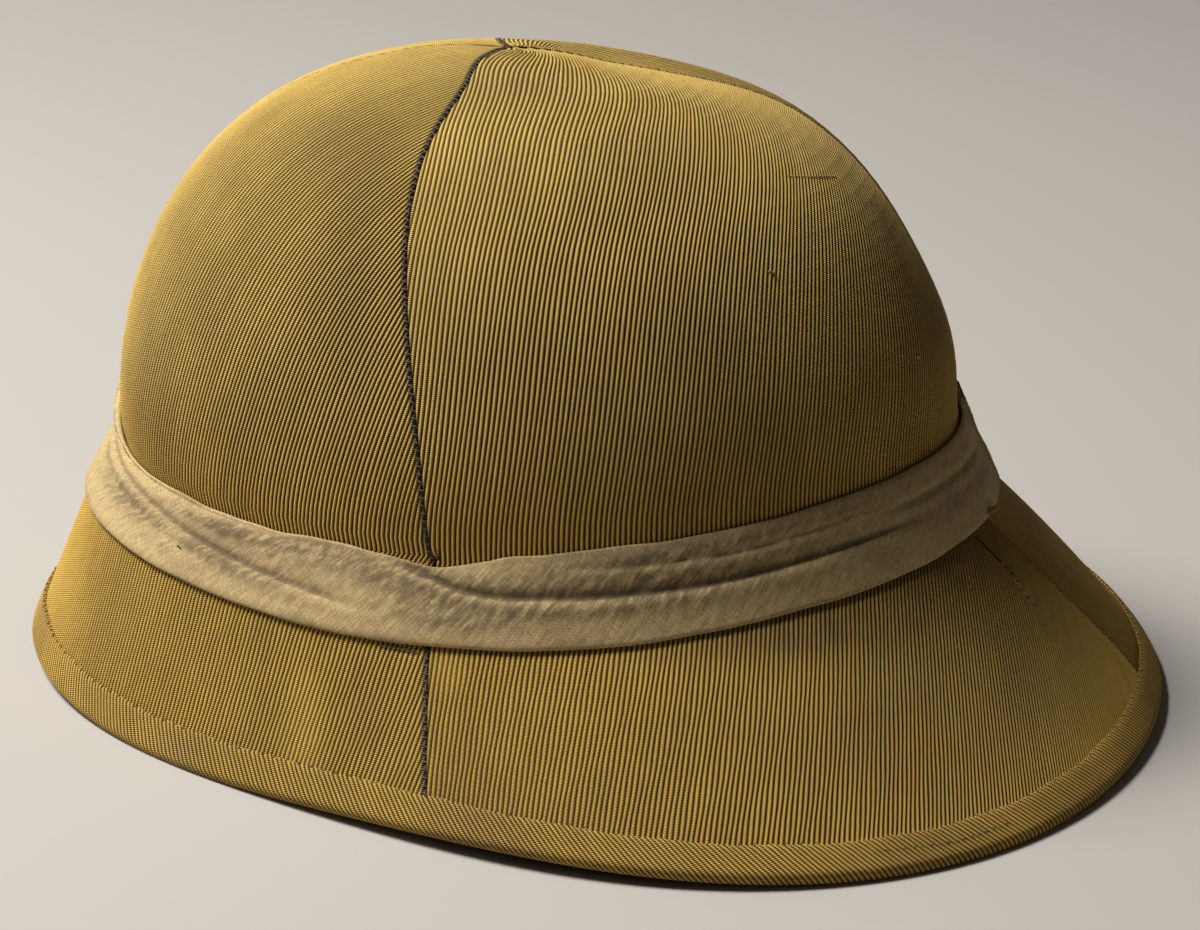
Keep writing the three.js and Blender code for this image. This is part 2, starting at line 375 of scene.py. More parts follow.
def spread_of(patches, turn, level):
    total = np.zeros(np.broadcast(turn, level).shape)
    for at_turn, at_level, turn_reach, level_reach, strength in patches:
        aside = degrees_apart(turn, at_turn) / turn_reach
        total = total + strength * np.exp(-(aside**2) - ((level - at_level) / level_reach) ** 2)
    return total


def add_values(thing, label, values):
    attribute = thing.data.attributes.new(label, "FLOAT", "POINT")
    attribute.data.foreach_set("value", np.asarray(values, np.float32).ravel())


def rib_profile(phase):
    """The height of a rib across its width, from 0 in the groove to 1 on its crest."""
    return np.abs(np.sin(math.pi * phase)) ** rib_roundness


def rolled_under(distance, width):
    """How far a rounded edge has gone under at a distance from it, as a share of its width."""
    return 1 - np.sqrt(1 - (1 - np.clip(distance / width, 0, 1)) ** 2)


def ribbed_panel(name, start_turn, end_turn, top, bottom, rows_down, lay):
    """A panel whose ribs run down it. Each entry of lay is a level and how far the ribs have moved
    there away from the start seam, in millimetres; they turn back where it is greatest."""
    fine_levels = np.linspace(top, bottom, 160)
    turns = start_turn + (end_turn - start_turn) * np.linspace(0, 1, 181)
    points = face(turns[None, :], fine_levels[:, None])
    steps = np.linalg.norm(np.diff(points, axis=1), axis=2)
    arcs = np.concatenate([np.zeros((len(fine_levels), 1)), np.cumsum(steps, axis=1)], axis=1)
    reach = np.maximum.accumulate(arcs[:, -1])
    shift = np.interp(fine_levels, *np.transpose(lay)) / 1000
    shift = np.convolve(np.pad(shift, 9, "edge"), np.ones(19) / 19, "valid")
    widest = int(np.argmax(shift))
    room = np.maximum.accumulate(reach - shift)
    step = rib_pitch / rib_samples
    ends = (seam_margin - shift[widest]) / step, (room[-1] - seam_margin) / step
    distance = np.arange(math.ceil(ends[0]), math.floor(ends[1])) * step
    phase = distance / rib_pitch
    count = len(distance)
    first_level = np.interp(-distance, shift[: widest + 1], fine_levels[: widest + 1])
    first_level = np.maximum(first_level, np.interp(distance, room, fine_levels))
    last_level = np.interp(distance, -shift[widest:], fine_levels[widest:])

    def turn_at(level):
        sway = sum(size * np.sin(level * down + phase * across) for size, down, across in rib_sways)
        spread = distance + np.interp(level, fine_levels, shift)
        inside = np.interp(level, fine_levels, reach) - spread
        free = np.clip(np.minimum(spread, inside) / sway_fades_over, 0, 1)
        spread = spread + sway * rib_pitch * free
        spread = np.maximum(spread, 0)
        place = (level - top) / (bottom - top) * (len(fine_levels) - 1)
        low = np.clip(np.floor(place).astype(int), 0, len(fine_levels) - 2)
        part = place - low
        turn = np.empty(level.shape)
        for row in np.unique(low):
            pick = low == row
            above = np.interp(spread[pick], arcs[row], turns)
            beneath = np.interp(spread[pick], arcs[row + 1], turns)
            turn[pick] = above * (1 - part[pick]) + beneath * part[pick]
        return turn, spread

    def run_down(line):
        lengths = np.cumsum(np.linalg.norm(np.diff(line, axis=0), axis=2), axis=0)
        return np.concatenate([np.zeros((1, count)), lengths])

    level = first_level + (last_level - first_level) * np.linspace(0, 1, 48)[:, None]
    run = run_down(face(turn_at(level)[0], level))
    # The rows lie level with each other, and follow the seam only close to the ends of a rib.
    near_seam = np.array([0, 0.0006, 0.0013, 0.0022, 0.0034, 0.0050])
    middle_steps = np.linalg.norm(np.diff(points[:, 90], axis=0), axis=1)
    middle_run = np.concatenate([[0], np.cumsum(middle_steps)])
    even = np.linspace(0, middle_run[-1], rows_down - 2 * len(near_seam) + 2)[1:-1]
    shared = np.interp(even, middle_run, fine_levels)
    wanted = []
    for column in range(count):
        total = run[-1, column]
        start = np.minimum(near_seam, total * np.arange(len(near_seam)) / (rows_down - 1))
        packed = np.arange(1, len(shared) + 1) * (total - 2 * start[-1]) / (len(shared) + 1) * 0.02
        rest = np.interp(shared, level[:, column], run[:, column])
        rest = np.clip(rest, start[-1] + packed, total - start[-1] - packed[::-1])
        places = np.concatenate([start, rest, total - start[::-1]])
        wanted.append(np.interp(places, run[:, column], level[:, column]))
    level = np.array(wanted).T
    turn, spread = turn_at(level)
    to_end = np.maximum(np.interp(level, fine_levels, reach) - spread, 0)
    line = face(turn, level)
    phase = np.broadcast_to(phase, level.shape)
    clear_of_apex = np.clip((level - 0.02) / 0.08, 0, 1)
    roll = side_seam_roll if end_turn % math.pi == 0 else back_seam_roll
    height = -rib_height * (1 - rib_profile(phase))
    height = height - turned_edge * rolled_under(spread, turned_edge) * clear_of_apex
    height -= rolled_edge * (rolled_under(to_end, rolled_edge) * roll) * clear_of_apex
    points = line + outward(turn, level) * height[..., None]
    faces = grid_faces(rows_down, count)
    if end_turn < start_turn:
        faces = faces[:, ::-1]
    panel = mesh_object(name, points.reshape(-1, 3), faces)
    index = faces.ravel()
    layer = panel.data.uv_layers.new(name="cord")
    along = np.interp(level, fine_levels, middle_run) * 1000
    layer.data.foreach_set("uv", np.stack([phase.ravel()[index], along.ravel()[index]], 1).ravel())
    add_values(panel, "to_start", spread * 1000)
    add_values(panel, "to_end", to_end * 1000)
    add_values(panel, "soil_and_painted_light", spread_of(soiling_and_painted_light, turn, level))
    return panel


class Nodes:
    """Adds the nodes of one material and links them, each by its inputs' names or numbers."""

    def __init__(self, name, roughness):
        self.material = surface(name, (0.5, 0.5, 0.5), roughness)
        self.tree = self.material.node_tree
        self.shader = self.tree.nodes["Principled BSDF"]

    def add(self, kind, inputs=(), **settings):
        node = self.tree.nodes.new(kind)
        for key, value in settings.items():
            setattr(node, key, value)
        for key, value in dict(inputs).items():
            self.feed(node.inputs[key], value)
        return node

    def feed(self, socket, value):
        if isinstance(value, bpy.types.NodeSocket):
            self.tree.links.new(value, socket)
        else:
            socket.default_value = value

    def math(self, operation, first, second=0.0):
        return self.add("ShaderNodeMath", {0: first, 1: second}, operation=operation).outputs[0]

    def ramp(self, value, low, high, out_low=0.0, out_high=1.0):
        settings = {"Value": value, 1: low, 2: high, 3: out_low, 4: out_high}
        node = self.add("ShaderNodeMapRange", settings, interpolation_type="SMOOTHSTEP")
        return node.outputs[0]

    def mix(self, share, first, second, blend="MIX"):
        node = self.add("ShaderNodeMix", data_type="RGBA", blend_type=blend)
        self.feed(node.inputs[0], share)
        for socket, colour in ((node.inputs[6], first), (node.inputs[7], second)):
            given = isinstance(colour, bpy.types.NodeSocket)
            self.feed(socket, colour if given else (*colour, 1.0))
        return node.outputs[2]

    def noise(self, vector, scale, detail=3.0, roughness=0.55):
        settings = {"Vector": vector, "Scale": scale, "Detail": detail, "Roughness": roughness}
        return self.add("ShaderNodeTexNoise", settings).outputs[0]

    def combine(self, x, y, z=0.0):
        return self.add("ShaderNodeCombineXYZ", {0: x, 1: y, 2: z}).outputs[0]

    def value(self, label):
        return self.add("ShaderNodeAttribute", attribute_name=label).outputs["Fac"]

    def bump(self, height, strength, distance, below=None):
        settings = {"Height": height, "Strength": strength, "Distance": distance}
        node = self.add("ShaderNodeBump", settings)
        if below is not None:
            self.tree.links.new(below, node.inputs["Normal"])
        return node.outputs[0]


crest_colour = (0.615, 0.410, 0.098)
low_crest_colour = (0.57, 0.348, 0.060)
# The groove colours are painted shade between the ribs, with a little grime.
groove_shade_and_grime_colour = (0.070, 0.042, 0.008)
# Painted light: the warm colour of the lit patches on the brim.
painted_light_colour = (0.64, 0.40, 0.075)
# Grime, also used as painted shade on the brim under the band and on the back of the hat.
grime_and_shade_colour = (0.165, 0.108, 0.048)
groove_grime_and_shade = (0.040, 0.027, 0.014)
seam_grime = (0.075, 0.055, 0.036)
# Painted shade: the near-black gap at a seam.
seam_gap_shade_colour = (0.012, 0.009, 0.006)
# The crest takes its low colour going down between these heights
low_crest_from = 0.105
low_crest_to = 0.060
twist_pitch = 0.54


def whipcord(name, seam_dirt_and_gap_shade):
    n = Nodes(name, 0.82)
    place = n.add("ShaderNodeTexCoord").outputs["Object"]
    cord = n.add("ShaderNodeSeparateXYZ", {0: n.add("ShaderNodeUVMap", uv_map="cord").outputs[0]})
    rib, along = cord.outputs[0], cord.outputs[1]
    across = n.math("FRACT", rib)
    crown_of_rib = n.math("ABSOLUTE", n.math("SINE", n.math("MULTIPLY", rib, math.pi)))
    own = n.noise(n.combine(n.math("FLOOR", rib), n.math("MULTIPLY", along, 0.02)), 1.7, 1.0)
    slant = n.math("ADD", n.math("DIVIDE", along, twist_pitch), n.math("MULTIPLY", across, 0.9))
    twist = n.math("SINE", n.math("MULTIPLY", slant, 2 * math.pi))
    fuzz = n.noise(place, 2600.0, 2.0, 0.7)
    blotch = n.noise(place, 38.0, 4.0, 0.6)
    broad = n.noise(place, 11.0, 3.0, 0.5)
    lift = n.math("ADD", crown_of_rib, n.math("MULTIPLY", n.math("SUBTRACT", fuzz, 0.5), 0.35))
    lift = n.math("ADD", lift, n.math("MULTIPLY", twist, 0.13))
    rise = n.add("ShaderNodeSeparateXYZ", {0: place}).outputs[2]
    crest = n.mix(n.ramp(rise, low_crest_from, low_crest_to), crest_colour, low_crest_colour)
    # Darker down in the grooves: painted shade, with a little grime.
    colour = n.mix(n.ramp(lift, 0.30, 0.98), groove_shade_and_grime_colour, crest)
    shade = n.ramp(own, 0.25, 0.75, 0.93, 1.06)
    shade = n.math("MULTIPLY", shade, n.ramp(blotch, 0.30, 0.72, 0.88, 1.08))
    colour = n.mix(1.0, colour, n.combine(shade, shade, shade), "MULTIPLY")
    # Grimy patches take the grime colour, and so do the patches of painted shade on the brim under the
    # band and on the back of the hat.
    soil_and_painted_light = n.value("soil_and_painted_light")
    soiled_and_shaded = n.math("MULTIPLY", n.ramp(soil_and_painted_light, 0.05, 0.85), n.ramp(blotch, 0.28, 0.66, 0.35, 1.0))
    soiled_and_shaded = n.math("ADD", soiled_and_shaded, n.ramp(broad, 0.52, 0.74, 0.0, 0.13))
    dirty_and_shaded = n.mix(n.ramp(lift, 0.30, 0.98), groove_grime_and_shade, grime_and_shade_colour)
    colour = n.mix(n.math("MINIMUM", n.math("MULTIPLY", soiled_and_shaded, 0.72), 0.8), colour, dirty_and_shaded)
    # Painted light: where the patches go negative, the crests turn a brighter orange.
    painted_light = n.math("MULTIPLY", n.ramp(soil_and_painted_light, -0.12, -0.7), n.ramp(lift, 0.30, 0.98, 0.25, 0.8))
    colour = n.mix(painted_light, colour, painted_light_colour)
    if seam_dirt_and_gap_shade:
        close = n.ramp(n.value("to_end"), 2.1, 0.9)
        colour = n.mix(n.math("MULTIPLY", close, seam_dirt_and_gap_shade), colour, seam_grime)
        # Painted shade: nearly black along the very edge at the start seam, in the gap between the panels.
        edge = n.ramp(n.value("to_start"), 0.55, 0.10)
        colour = n.mix(n.math("MULTIPLY", edge, 0.85), colour, seam_gap_shade_colour)
    n.feed(n.shader.inputs["Base Color"], colour)
    n.feed(n.shader.inputs["Roughness"], n.ramp(lift, 0.2, 1.0, 0.95, 0.72))
    n.shader.inputs["Specular IOR Level"].default_value = 0.18
    n.shader.inputs["Sheen Weight"].default_value = 0.04
    n.shader.inputs["Sheen Roughness"].default_value = 0.5
    ridges = n.bump(twist, 0.85, 0.00013)
    n.feed(n.shader.inputs["Normal"], n.bump(fuzz, 0.5, 0.00016, ridges))
    return n.material


whipcords = {
    "front": whipcord("khaki whipcord, dirty seams", seam_dirt_and_gap_shade=0.88),
    "back": whipcord("khaki whipcord", seam_dirt_and_gap_shade=0.12),
}
panel_seams = {
    "back_left": (0.0, math.pi / 2),
    "back_right": (math.pi, math.pi / 2),
    "front_right": (1.5 * math.pi, math.pi),
    "front_left": (1.5 * math.pi, 2 * math.pi),
}
# The lay of the ribs: a level, and how far they have moved there from the start seam, in mm
crown_lay = {
    "back": [(0, -11), (0.2, -6.2), (0.38, 0), (0.6, -5), (0.78, -11), (1, -20), (1.5, -22)],
    "front": [(0, 0), (0.3, 19), (0.42, 26), (0.58, 33), (0.76, 36), (0.87, 34.5), (1, 30), (1.5, 27)],
}
brim_lay = {"back": [(1.5, 0), (2, -0.8), (3, -6.5)], "front": [(1.5, 0), (2, 2.5), (3, 22)]}
# The flat pieces of cloth: width, length and area
crown_cut = (0.200, 0.205, 0.0245)
brim_cuts = {"back": (0.240, 0.100, 0.0172), "front": (0.200, 0.080, 0.0115)}
for corner, (start_turn, end_turn) in panel_seams.items():
    end = corner.split("_")[0]
    seams = (start_turn, end_turn)
    crown = ribbed_panel(f"crown_cloth_{corner}", *seams, 0.002, 1.5, crown_rows, crown_lay[end])
    brim = ribbed_panel(f"brim_cloth_{corner}", *seams, 1.5, 2.97, brim_rows, brim_lay[end])
    for piece, node, cut in ((crown, "crown_panel", crown_cut), (brim, "brim_panel", brim_cuts[end])):
        piece.data.materials.append(whipcords[end])
        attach(piece, "root")
        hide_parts(f"{node}_{corner}")

# Seam stitches. Close whip stitches of dull thread draw the turned edge of each front panel to
# the panel behind it. They are small and dark with wear, and stand a little proud of the cloth.
stitch_pitch = 0.0021
stitch_length = 0.0017
stitch_thickness = 0.00042
stitch_rise = 0.00035
stitch_slant = 1.1
stitch_wobble = 0.22
stitch_sunk = 0.00055
stitch_set_forward = 0.0006


def stitch_row_tree():
    tree = bpy.data.node_groups.new("row of stitches", "GeometryNodeTree")
    face_of = tree.interface
    face_of.new_socket("Path", in_out="INPUT", socket_type="NodeSocketGeometry")
    for label in ("Pitch", "Length", "Thickness", "Rise", "Slant"):
        face_of.new_socket(label, in_out="INPUT", socket_type="NodeSocketFloat")
    face_of.new_socket("Thread", in_out="INPUT", socket_type="NodeSocketMaterial")
    face_of.new_socket("Stitches", in_out="OUTPUT", socket_type="NodeSocketGeometry")
    add, link = tree.nodes.new, tree.links.new
    given, made = add("NodeGroupInput"), add("NodeGroupOutput")

    def vector_math(operation, first, second=None):
        node = add("ShaderNodeVectorMath")
        node.operation = operation
        link(first, node.inputs[0])
        if second is not None:
            link(second, node.inputs[3 if operation == "SCALE" else 1])
        return node.outputs[0]

    def plain_math(operation, first, second=0.0):
        node = add("ShaderNodeMath")
        node.operation = operation
        link(first, node.inputs[0])
        node.inputs[1].default_value = second
        return node.outputs[0]

    path = add("GeometryNodeMeshToCurve")
    link(given.outputs["Path"], path.inputs["Mesh"])
    spaced = add("GeometryNodeResampleCurve")
    spaced.mode = "LENGTH"
    link(path.outputs[0], spaced.inputs["Curve"])
    link(given.outputs["Pitch"], spaced.inputs["Length"])

    half = plain_math("MULTIPLY", given.outputs["Length"], 0.5)
    ends = []
    for sign in (-1.0, 1.0):
        end = add("ShaderNodeCombineXYZ")
        link(plain_math("MULTIPLY", half, sign), end.inputs[0])
        ends.append(end.outputs[0])
    top = add("ShaderNodeCombineXYZ")
    link(plain_math("MULTIPLY", given.outputs["Rise"], 2.0), top.inputs[2])
    arch = add("GeometryNodeCurveQuadraticBezier")
    arch.inputs["Resolution"].default_value = 4
    link(ends[0], arch.inputs["Start"])
    link(top.outputs[0], arch.inputs["Middle"])
    link(ends[1], arch.inputs["End"])
    ring = add("GeometryNodeCurvePrimitiveCircle")
    ring.inputs["Resolution"].default_value = 5
    link(plain_math("MULTIPLY", given.outputs["Thickness"], 0.5), ring.inputs["Radius"])
    thread = add("GeometryNodeCurveToMesh")
    thread.inputs["Fill Caps"].default_value = True
    link(arch.outputs[0], thread.inputs["Curve"])
    link(ring.outputs[0], thread.inputs["Profile Curve"])

    up = add("GeometryNodeInputNamedAttribute")
    up.data_type = "FLOAT_VECTOR"
    up.inputs["Name"].default_value = "out"
    tangent = add("GeometryNodeInputTangent")
    wobble = add("FunctionNodeRandomValue")
    wobble.data_type = "FLOAT"
    wobble.inputs["Min"].default_value = -stitch_wobble
    wobble.inputs["Max"].default_value = stitch_wobble
    wobble.inputs["Seed"].default_value = 7
    slant = add("ShaderNodeMath")
    slant.operation = "ADD"
    link(given.outputs["Slant"], slant.inputs[0])
    link(wobble.outputs[1], slant.inputs[1])
    side = vector_math("CROSS_PRODUCT", up.outputs[0], tangent.outputs[0])
    ahead = vector_math("SCALE", tangent.outputs[0], plain_math("COSINE", slant.outputs[0]))
    aside = vector_math("SCALE", side, plain_math("SINE", slant.outputs[0]))
    lie = vector_math("ADD", ahead, aside)
    stand = add("FunctionNodeAlignRotationToVector")
    stand.axis = "Z"
    link(up.outputs[0], stand.inputs["Vector"])
    turn = add("FunctionNodeAlignRotationToVector")
    turn.axis = "X"
    turn.pivot_axis = "Z"
    link(stand.outputs[0], turn.inputs["Rotation"])
    link(lie, turn.inputs["Vector"])

    spots = add("GeometryNodeInstanceOnPoints")
    link(spaced.outputs[0], spots.inputs["Points"])
    link(thread.outputs[0], spots.inputs["Instance"])
    link(turn.outputs[0], spots.inputs["Rotation"])
    real = add("GeometryNodeRealizeInstances")
    link(spots.outputs[0], real.inputs[0])
    finish = add("GeometryNodeSetMaterial")
    link(real.outputs[0], finish.inputs["Geometry"])
    link(given.outputs["Thread"], finish.inputs["Material"])
    link(finish.outputs[0], made.inputs[0])
    return tree


stitch_rows = stitch_row_tree()


def stitched(name, path, out, thread, **sizes):
    """Stitches along a path of points, each pointing away from the cloth along its own normal."""
    mesh = bpy.data.meshes.new(name)
    mesh.from_pydata([tuple(point) for point in path], [(i, i + 1) for i in range(len(path) - 1)], [])
    attribute = mesh.attributes.new("out", "FLOAT_VECTOR", "POINT")
    attribute.data.foreach_set("vector", np.asarray(out, np.float32).ravel())
    thing = bpy.data.objects.new(name, mesh)
    scene.collection.objects.link(thing)
    modifier = thing.modifiers.new("stitches", "NODES")
    modifier.node_group = stitch_rows
    for socket in stitch_rows.interface.items_tree:
        if socket.in_out == "INPUT" and socket.name in sizes:
            modifier[socket.identifier] = sizes[socket.name]
        if socket.name == "Thread":
            modifier[socket.identifier] = thread
    shown = thing.evaluated_get(bpy.context.evaluated_depsgraph_get())
    thing.data = bpy.data.meshes.new_from_object(shown)
    thing.modifiers.clear()
    thing.data.polygons.foreach_set("use_smooth", np.full(len(thing.data.polygons), True))
    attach(thing, "root")
    return thing


def thread_finish(name, colour, dark):
    n = Nodes(name, 0.85)
    place = n.add("ShaderNodeTexCoord").outputs["Object"]
    grain = n.noise(place, 1800.0, 2.0, 0.7)
    worn = n.noise(place, 60.0, 3.0)
    colour = n.mix(n.ramp(grain, 0.3, 0.7), dark, colour)
    n.feed(n.shader.inputs["Base Color"], n.mix(n.ramp(worn, 0.45, 0.7, 0.0, 0.6), colour, dark))
    n.feed(n.shader.inputs["Normal"], n.bump(grain, 0.6, 0.0001))
    return n.material


dull_thread = thread_finish("dull thread", (0.16, 0.125, 0.075), (0.035, 0.026, 0.016))
stitched_seams = {"side_left": 0.0, "side_right": math.pi}
stitched_levels = {"crown": np.linspace(0.05, 1.02, 90), "brim": np.linspace(1.98, 2.92, 40)}
for label, seam_turn in stitched_seams.items():
    for part, levels in stitched_levels.items():
        path = face(seam_turn, levels)
        out = outward(np.full(len(levels), seam_turn), levels)
        row = stitched(
            f"seam_stitches_{part}_{label}",
            path + np.array([0.0, -stitch_set_forward, 0.0]) - out * stitch_sunk,
            out,
            dull_thread,
            Pitch=stitch_pitch,
            Length=stitch_length,
            Thickness=stitch_thickness,
            Rise=stitch_rise,
            Slant=stitch_slant,
        )

# Puggaree. A strip of thin cotton cut on the slant, its edges turned under, wrapped round the
# foot of the crown and drawn tight, so that it lies in long shallow folds. It ends at the back
# in a short hem that is sewn down with a knot.
band_columns = 1260
band_radius = 0.1085
band_depth_mm = 21.0
band_profile = np.array(
    [
        # share of the way down, height off the cover in millimetres
        (0.26, 0.25),
        (0.18, 0.30),
        (0.08, 0.35),
        (0.01, 0.40),
        (-0.04, 0.75),
        (-0.02, 1.15),
        (0.03, 1.45),
        (0.06, 1.75),
        (0.10, 2.10),
        (0.14, 2.40),
        (0.18, 2.65),
        (0.22, 2.80),
        (0.26, 2.90),
        (0.30, 2.95),
        (0.34, 3.00),
        (0.38, 3.00),
        (0.42, 3.00),
        (0.46, 3.00),
        (0.50, 3.00),
        (0.54, 3.00),
        (0.58, 3.00),
        (0.62, 3.05),
        (0.66, 3.10),
        (0.70, 3.10),
        (0.74, 3.05),
        (0.78, 3.00),
        (0.82, 2.85),
        (0.86, 2.70),
        (0.90, 2.45),
        (0.94, 2.25),
        (0.98, 2.00),
        (1.04, 1.65),
        (1.09, 1.20),
        (1.10, 0.80),
        (1.07, 0.50),
        (0.98, 0.35),
        (0.87, 0.30),
        (0.78, 0.25),
    ]
)
# The folds, each with its points as turn and share of the way down, its depth in millimetres
# and its half width as a share of the way down
band_folds = {
    "front left": (
        [(-84, 0.15), (-70, 0.27), (-54, 0.40), (-48, 0.48), (-37, 0.57), (-19, 0.69), (-10, 0.78)],
        1.05,
        0.055,
    ),
    "front left, upper": ([(-92, 0.42), (-74, 0.50), (-58, 0.62), (-44, 0.74), (-34, 0.84)], 0.55, 0.05),
    "left": (
        [(-9, 0.12), (-5, 0.17), (0, 0.28), (4, 0.42), (10, 0.49)]
        + [(26, 0.54), (44, 0.58), (57, 0.57), (74, 0.60)],
        1.15,
        0.06,
    ),
    "left, upper": ([(20, 0.16), (32, 0.22), (44, 0.27), (58, 0.25), (68, 0.20)], 0.60, 0.04),
    "left, across": ([(27, 0.58), (31, 0.42), (36, 0.24), (40, 0.14)], 0.40, 0.04),
    "front left, creases": ([(-34, 0.30), (-26, 0.24), (-18, 0.20), (-10, 0.22)], 0.45, 0.04),
    "back": ([(64, 0.34), (80, 0.36), (96, 0.42)], 0.60, 0.05),
    "back right": ([(103, 0.30), (130, 0.42), (160, 0.55), (178, 0.66)], 1.0, 0.06),
    "right": ([(165, 0.22), (185, 0.34), (215, 0.48), (245, 0.52)], 1.05, 0.06),
    "right, lower": ([(190, 0.70), (215, 0.74), (240, 0.66)], 0.55, 0.05),
    "front": ([(236, 0.28), (255, 0.34), (272, 0.48), (288, 0.62)], 0.9, 0.055),
}
# The waves of its edges, each with its count round the hat, where it starts and its size as a
# share of the way down; the dip and the loose loops with their turn, reach and size. How far a
# loop stands off, and the least height of the cloth, are in millimetres
edge_waves = ((9, 0.6, 0.012), (23, 0, 0.006), (41, 2, 0.003))
top_dip = (-0.5, 8, 0.15)
loose_loops = ((264, 14, 0.33), (107, 6, 0.20))
loop_stand = 9
least_height = 0.22
hem_turn = 99.0
hem_step = 0.5
hem_stand = 0.75
hem_fades_over = 14


def fold_depth(turn_degrees, share):
    total = np.zeros(share.shape)
    for points, depth, half_width in band_folds.values():
        at_turns, at_shares = np.array(points, float).T
        turn = (turn_degrees - at_turns[0] + 20) % 360 + at_turns[0] - 20
        middle = np.interp(turn, at_turns, at_shares)
        opens = np.clip((turn - at_turns[0]) / 9 + 0.2, 0, 1)
        closes = np.clip((at_turns[-1] - turn) / 9 + 0.2, 0, 1)
        apart = (share - middle) / half_width
        steep_below = np.where(apart > 0, apart * 1.5, apart * 0.7)
        lip = np.exp(-((apart - 1.9) / 1.5) ** 2) * 0.45
        total += depth * (opens * closes) * (np.exp(-(steep_below**2)) - lip)
    return total


turns = np.linspace(0, 2 * math.pi, band_columns, endpoint=False)[None, :]
shares = np.broadcast_to(band_profile[:, 0][:, None], (len(band_profile), band_columns)).copy()
heights = np.broadcast_to(band_profile[:, 1][:, None], shares.shape).copy()
seen = np.zeros(len(band_profile))
seen[5:-6] = 1.0
wave = sum(np.sin(turns * count + start) * size for count, start, size in edge_waves)
dip_turn, dip_reach, dip_size = top_dip
dip = dip_size * near(degrees_apart(turns, dip_turn), 0, dip_reach)
shares += wave * (1 - shares) + dip * (1 - shares) - 0.6 * wave * shares
loose_loop = sum(size * near(np.degrees(turns), at, reach) for at, reach, size in loose_loops)
shares -= loose_loop * (1 - shares)
degrees_round = np.broadcast_to(np.degrees(turns), shares.shape)
creased = fold_depth(degrees_round, shares)
small = 0.07 * np.sin(degrees_round * 1.7 + shares * 21) * np.sin(degrees_round * 0.63 - shares * 9)
small += 0.05 * np.sin(degrees_round * 4.1 - shares * 34 + 1.3)
heights += seen[:, None] * (small - creased + loop_stand * loose_loop * np.clip(1 - shares, 0, 1))
past_hem = (degrees_round - hem_turn) % 360
hem = hem_stand * np.exp(-past_hem / hem_fades_over) * np.clip(past_hem / hem_step, 0, 1)
heights += seen[:, None] * hem
heights = np.maximum(heights, least_height) / 1000
past_bottom = 1 + (shares - 1) * 0.27
levels = 1 + np.where(shares < 0, shares * 0.14, np.where(shares > 1, past_bottom, shares))
band_points = face(turns, levels) + outward(turns, levels) * heights[..., None]
band_faces = grid_faces(len(band_profile), band_columns, closed=True)
puggaree = mesh_object("cotton_band", band_points.reshape(-1, 3), band_faces)
round_the_band = np.broadcast_to(turns * band_radius * 1000, shares.shape).ravel()
profile_run = np.cumsum(np.abs(np.diff(band_profile[:, 0], prepend=band_profile[0, 0])))
down_the_band = np.broadcast_to((profile_run * band_depth_mm)[:, None], shares.shape).ravel()
index = band_faces.ravel()
layer = puggaree.data.uv_layers.new(name="weave")


def unwrapped(values, whole_way):
    """The values of each face's corners, with those past the start carried on beyond the end."""
    corners = values.reshape(-1, 4)
    wraps = (corners.max(1) - corners.min(1)) > whole_way / 2
    corners[wraps] = np.where(corners[wraps] < whole_way / 2, corners[wraps] + whole_way, corners[wraps])
    return corners.ravel()


whole_way = 2 * math.pi * band_radius * 1000
u = unwrapped(round_the_band[index], whole_way)
layer.data.foreach_set("uv", np.stack([u, down_the_band[index]], 1).ravel())
smudges_and_painted_shade = np.array(
    [
        # turn, level, reach in turn, reach in level, strength. Grime, in places made darker as painted
        # shade
        (-62, 1.55, 16, 0.22, 0.75),
        (-40, 1.20, 16, 0.12, 0.60),
        (-34, 1.72, 13, 0.14, 0.35),
        (-20, 1.12, 12, 0.12, 0.80),
        (-4, 1.30, 9, 0.16, 0.75),
        (3, 1.70, 9, 0.16, 0.75),
        (22, 1.45, 30, 0.45, 0.70),
        (-28, 1.50, 16, 0.40, 0.35),
        (30, 1.58, 16, 0.12, 0.60),
        (60, 1.50, 20, 0.45, 0.20),
        (46, 1.10, 20, 0.07, 0.45),
        (84, 1.55, 12, 0.40, 0.35),
        (130, 1.40, 20, 0.25, 0.50),
        (190, 1.55, 18, 0.20, 0.55),
        (240, 1.30, 16, 0.20, 0.55),
    ]
)
add_values(puggaree, "soil_and_painted_light", spread_of(smudges_and_painted_shade, np.radians(degrees_round), levels))
add_values(puggaree, "crease", creased)


thread_spacing = 0.62
slub_stretch = (2.4, 0.10)
pale_cotton = (0.58, 0.425, 0.200)
dull_cotton = (0.27, 0.185, 0.080)
# Grime, also painted as shade in the deep folds.
cotton_grime_and_shade = (0.090, 0.062, 0.034)


